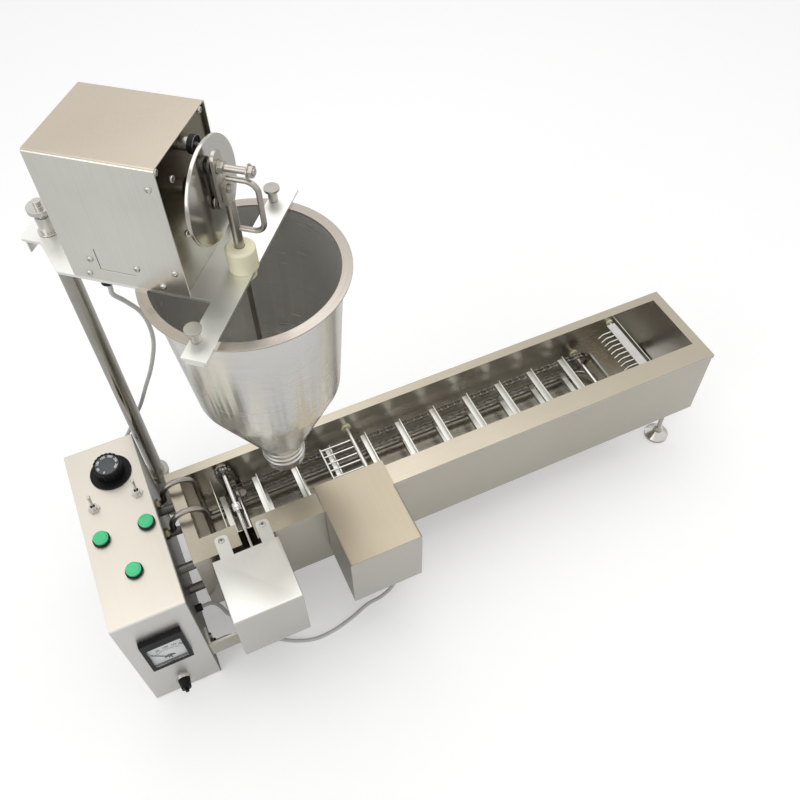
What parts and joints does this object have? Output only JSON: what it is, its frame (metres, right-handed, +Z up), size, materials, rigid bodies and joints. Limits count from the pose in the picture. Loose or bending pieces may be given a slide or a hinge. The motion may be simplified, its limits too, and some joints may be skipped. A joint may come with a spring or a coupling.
{
  "type": "automatic mini donut machine",
  "caption": "Bench-top ring dough fryer: control cabinet, swinging head with crank-driven plunger over a hopper, and a long trough with chain conveyor, turner and exit comb.",
  "frame": {"origin": "centre of the footprint's bounding box, on the bench surface", "axes": "+X along the trough from the cabinet to the discharge end, +Y to the back, +Z up"},
  "size_m": [1.05, 0.4108, 0.8411],
  "materials": {
    "steel": "fine brushed",
    "bright_steel": "polished",
    "dull_steel": "dull grey",
    "heater_sheath": "satin",
    "black_plastic": "satin black",
    "green_lens": "clear green",
    "pale_plastic": "satin",
    "nylon": "satin",
    "brass": "turned",
    "clear_window": "clear",
    "cable_sheath": "satin grey"
  },
  "bodies": {
    "base": {"cabinet_shell": "steel", "cabinet_side_panel": "steel", "thermostat": "black_plastic", "toggle_switches": "bright_steel", "lamp_bezels": "black_plastic", "lamp_lenses": "green_lens", "meter_case": "black_plastic", "meter_face": "pale_plastic", "meter_glass": "clear_window", "speed_pot": "bright_steel", "heater_tube": "heater_sheath", "heater_glands": "brass", "frame_fasteners": "bright_steel", "trough_casing": "steel", "fryer_trough": "steel", "tie_bar": "steel", "column_socket": "steel", "conveyor_cover": "steel", "conveyor_gearmotor": "dull_steel", "turner_cover": "steel", "turner_gearmotor": "dull_steel", "shaft_bushes": "nylon", "conveyor_chains": "dull_steel", "conveyor_flights": "steel", "head_cable": "cable_sheath", "drive_cables": "cable_sheath", "cable_glands": "black_plastic"},
    "temperature_knob": {"dial_knob": "black_plastic"},
    "left_toggle": {"toggle_lever_left": "bright_steel"},
    "right_toggle": {"toggle_lever_right": "bright_steel"},
    "needle": {"meter_needle": "black_plastic"},
    "speed_control": {"speed_knob": "black_plastic"},
    "foot_front": {"front_foot": "bright_steel"},
    "foot_rear": {"rear_foot": "bright_steel"},
    "drive": {"drive_shaft": "bright_steel"},
    "feed": {"feed_shaft": "bright_steel"},
    "tail": {"tail_shaft": "bright_steel"},
    "turner_frame": {"turner": "bright_steel"},
    "comb": {"exit_comb": "bright_steel"},
    "head": {"column_tube": "steel", "arm_plate": "steel", "head_cover": "steel", "head_end_plate": "steel", "head_gearmotor": "dull_steel", "head_screws": "bright_steel", "guide_bush": "nylon", "hopper": "steel", "nozzle": "steel", "stop_switch": "pale_plastic", "head_grommet": "black_plastic"},
    "column_clamp": {"column_knob": "bright_steel"},
    "crank": {"crank_disc": "steel"},
    "link": {"crank_link": "dull_steel"},
    "plunger_lift": {"plunger": "bright_steel", "crosshead": "steel", "lift_handle": "bright_steel", "wrist_stud": "bright_steel"},
    "thumb_front": {"thumb_screw_front": "bright_steel"},
    "thumb_rear": {"thumb_screw_rear": "bright_steel"},
    "stop_pin": {"stop_button": "bright_steel"}
  },
  "joints": [
    {"name": "temperature_turn", "type": "hinge", "parent": "base", "child": "temperature_knob", "pos_m": [-0.464, 0.0936, 0.283], "axis": [0, 0, 1], "range_deg": [0, 300]},
    {"name": "left_toggle_throw", "type": "hinge", "parent": "base", "child": "left_toggle", "pos_m": [-0.501, 0.0406, 0.274], "axis": [1, 0, 0], "range_deg": [0, 28]},
    {"name": "right_toggle_throw", "type": "hinge", "parent": "base", "child": "right_toggle", "pos_m": [-0.436, 0.0406, 0.274], "axis": [1, 0, 0], "range_deg": [0, 28]},
    {"name": "needle_swing", "type": "hinge", "parent": "base", "child": "needle", "pos_m": [-0.472, -0.162, 0.138], "axis": [0, 1, 0], "range_deg": [0, 80]},
    {"name": "speed_turn", "type": "hinge", "parent": "base", "child": "speed_control", "pos_m": [-0.474, -0.1584, 0.035], "axis": [0, -1, 0], "range_deg": [0, 300]},
    {"name": "front_foot_screw", "type": "hinge", "parent": "base", "child": "foot_front", "pos_m": [0.489, -0.0694, 0.05], "axis": [0, 0, 1], "range_deg": [-180, 180]},
    {"name": "rear_foot_screw", "type": "hinge", "parent": "base", "child": "foot_rear", "pos_m": [0.489, 0.0656, 0.05], "axis": [0, 0, 1], "range_deg": [-180, 180]},
    {"name": "drive_spin", "type": "hinge", "parent": "base", "child": "drive", "pos_m": [-0.308, -0.0294, 0.23], "axis": [0, 1, 0], "continuous": true},
    {"name": "feed_spin", "type": "hinge", "parent": "base", "child": "feed", "pos_m": [-0.297, -0.0294, 0.176], "axis": [0, 1, 0], "continuous": true},
    {"name": "tail_spin", "type": "hinge", "parent": "base", "child": "tail", "pos_m": [0.3507, -0.0294, 0.176], "axis": [0, 1, 0], "continuous": true},
    {"name": "turner_swing", "type": "hinge", "parent": "base", "child": "turner_frame", "pos_m": [-0.095, -0.0294, 0.213], "axis": [0, 1, 0], "range_deg": [0, 170]},
    {"name": "comb_lift", "type": "hinge", "parent": "base", "child": "comb", "pos_m": [0.416, -0.0294, 0.229], "axis": [0, 1, 0], "range_deg": [0, 60]},
    {"name": "head_swing", "type": "hinge", "parent": "base", "child": "head", "pos_m": [-0.407, 0.1726, 0.4], "axis": [0, 0, 1], "range_deg": [-15, 75]},
    {"name": "column_knob_turn", "type": "hinge", "parent": "head", "child": "column_clamp", "pos_m": [-0.407, 0.1726, 0.69], "axis": [0, 0, 1], "range_deg": [0, 360]},
    {"name": "crank_spin", "type": "hinge", "parent": "head", "child": "crank", "pos_m": [-0.22822, 0.02318, 0.773], "axis": [0.7673, -0.6413, 0], "continuous": true},
    {"name": "link_turn", "type": "hinge", "parent": "crank", "child": "link", "pos_m": [-0.2217, 0.01773, 0.76], "axis": [0.7673, -0.6413, 0], "continuous": true},
    {"name": "plunger_slide", "type": "slide", "parent": "head", "child": "plunger_lift", "axis": [0, 0, 1], "range_m": [0, 0.026]},
    {"name": "front_thumb_turn", "type": "hinge", "parent": "head", "child": "thumb_front", "pos_m": [-0.29521, -0.07723, 0.68], "axis": [0, 0, 1], "range_deg": [0, 360]},
    {"name": "rear_thumb_turn", "type": "hinge", "parent": "head", "child": "thumb_rear", "pos_m": [-0.14129, 0.10691, 0.68], "axis": [0, 0, 1], "range_deg": [0, 360]},
    {"name": "stop_press", "type": "slide", "parent": "head", "child": "stop_pin", "axis": [-0.7673, 0.6413, 0], "range_m": [0, 0.002], "stiffness_N_per_m": 400, "springref_m": -0.001}
  ],
  "couplings": [
    {"joint": "feed_spin", "follows": "drive_spin", "ratio": 1},
    {"joint": "tail_spin", "follows": "drive_spin", "ratio": 1},
    {"joint": "link_turn", "follows": "crank_spin", "ratio": -1}
  ]
}
